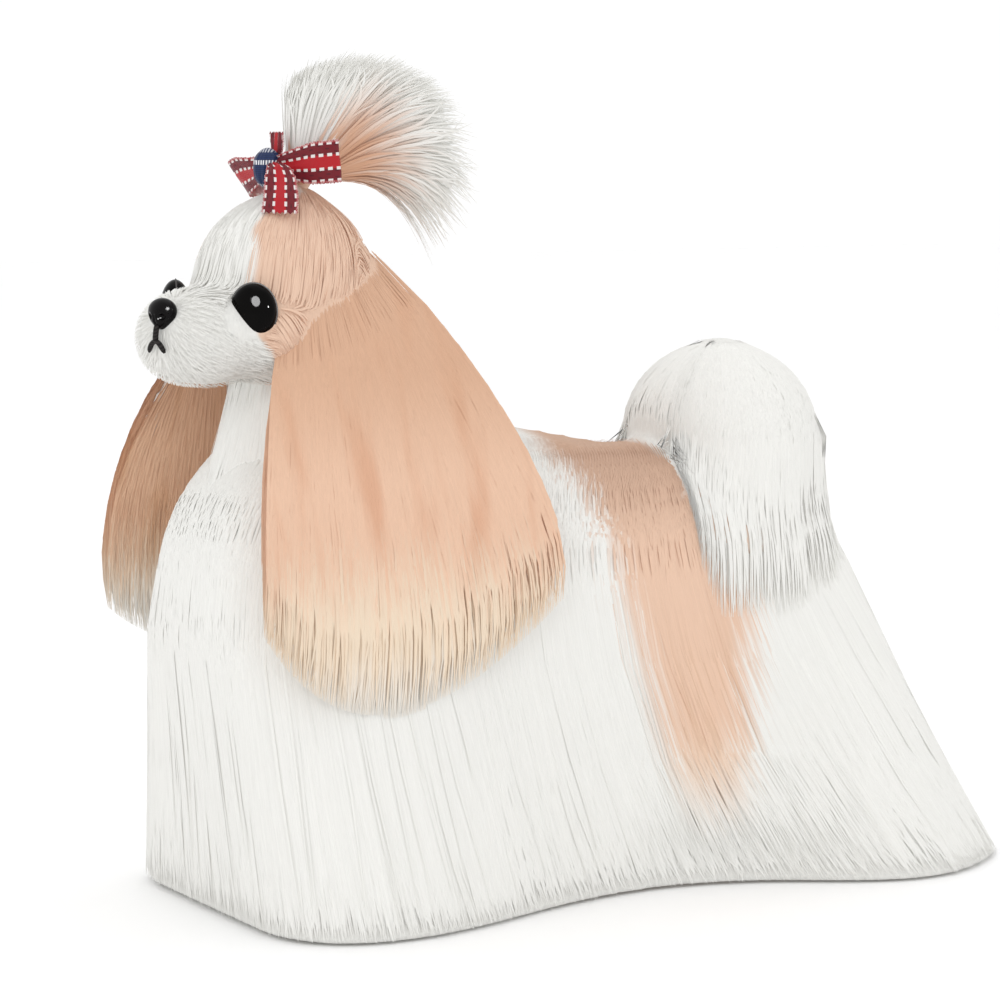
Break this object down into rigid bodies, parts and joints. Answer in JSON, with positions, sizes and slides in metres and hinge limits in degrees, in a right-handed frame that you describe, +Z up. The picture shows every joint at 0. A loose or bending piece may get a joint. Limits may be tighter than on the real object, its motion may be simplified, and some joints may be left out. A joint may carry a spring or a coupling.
{
  "type": "stuffed shih tzu show dog figure",
  "caption": "Long-coated stuffed toy dog standing with its head turned, a plaid ribbon bow on its topknot, hanging ears and a mop tail.",
  "frame": {"origin": "on the floor, under the middle of the whole figure's bounding box", "axes": "the dog faces -Y, its left side is +X, +Z is up"},
  "size_m": [0.1736, 0.3712, 0.325],
  "materials": {
    "white_pile": "long straight white faux-fur pile",
    "peach_pile": "long straight peach faux-fur pile",
    "black_gloss": "moulded glossy black",
    "red_ribbon": "woven ribbon with satin bands",
    "blue_ribbon": "woven ribbon"
  },
  "bodies": {
    "root": {"head": "white_pile", "eye_left": "black_gloss", "eye_right": "black_gloss", "nose": "black_gloss", "mouth": "black_gloss", "neck": "white_pile", "chest_left": "white_pile", "chest_right": "white_pile", "torso_left": "white_pile", "torso_right": "white_pile", "rump_left": "white_pile", "rump_right": "white_pile", "leg_front_left": "white_pile", "leg_front_right": "white_pile", "leg_rear_left": "white_pile", "leg_rear_right": "white_pile", "ear_left": "peach_pile", "ear_right": "peach_pile", "topknot": "white_pile", "tail_left": "white_pile", "tail_right": "white_pile", "bow_loop_left": "red_ribbon", "bow_loop_right": "red_ribbon", "bow_tail_left": "red_ribbon", "bow_tail_right": "red_ribbon", "bow_knot": "blue_ribbon"}
  },
  "joints": []
}
